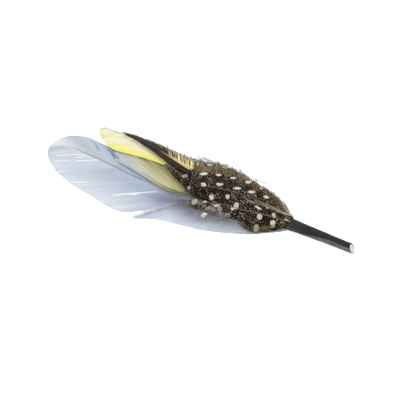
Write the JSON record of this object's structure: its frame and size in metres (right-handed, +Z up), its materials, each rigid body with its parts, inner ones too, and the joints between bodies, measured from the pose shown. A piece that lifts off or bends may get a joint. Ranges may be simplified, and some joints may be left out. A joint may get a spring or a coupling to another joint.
{
  "type": "hat feather mount",
  "caption": "Hat trim of mixed dyed and spotted feathers gathered in a tapered black wrapped stem, lying flat.",
  "frame": {"origin": "middle of the mount's outline, on the surface it lies on", "axes": "+X along the mount to the cut end of the stem, +Y to the yellow feather's side, +Z up"},
  "size_m": [0.1534, 0.0441, 0.0108],
  "materials": {
    "black_wrap": "satin",
    "blue_barbs": "matt, soft sheen",
    "olive_barbs": "matt",
    "yellow_barbs": "matt",
    "dark_barbs": "matt",
    "guinea_barbs": "matt, white spots"
  },
  "bodies": {
    "root": {"stem_sleeve": "black_wrap", "blue_feather_large": "blue_barbs", "blue_feather_small": "blue_barbs", "olive_feather": "olive_barbs", "yellow_feather": "yellow_barbs", "guinea_feather_under": "guinea_barbs", "dark_feather": "dark_barbs", "guinea_feather_top": "guinea_barbs", "guinea_feather_middle": "guinea_barbs", "guinea_feather_bottom": "guinea_barbs"}
  },
  "joints": []
}
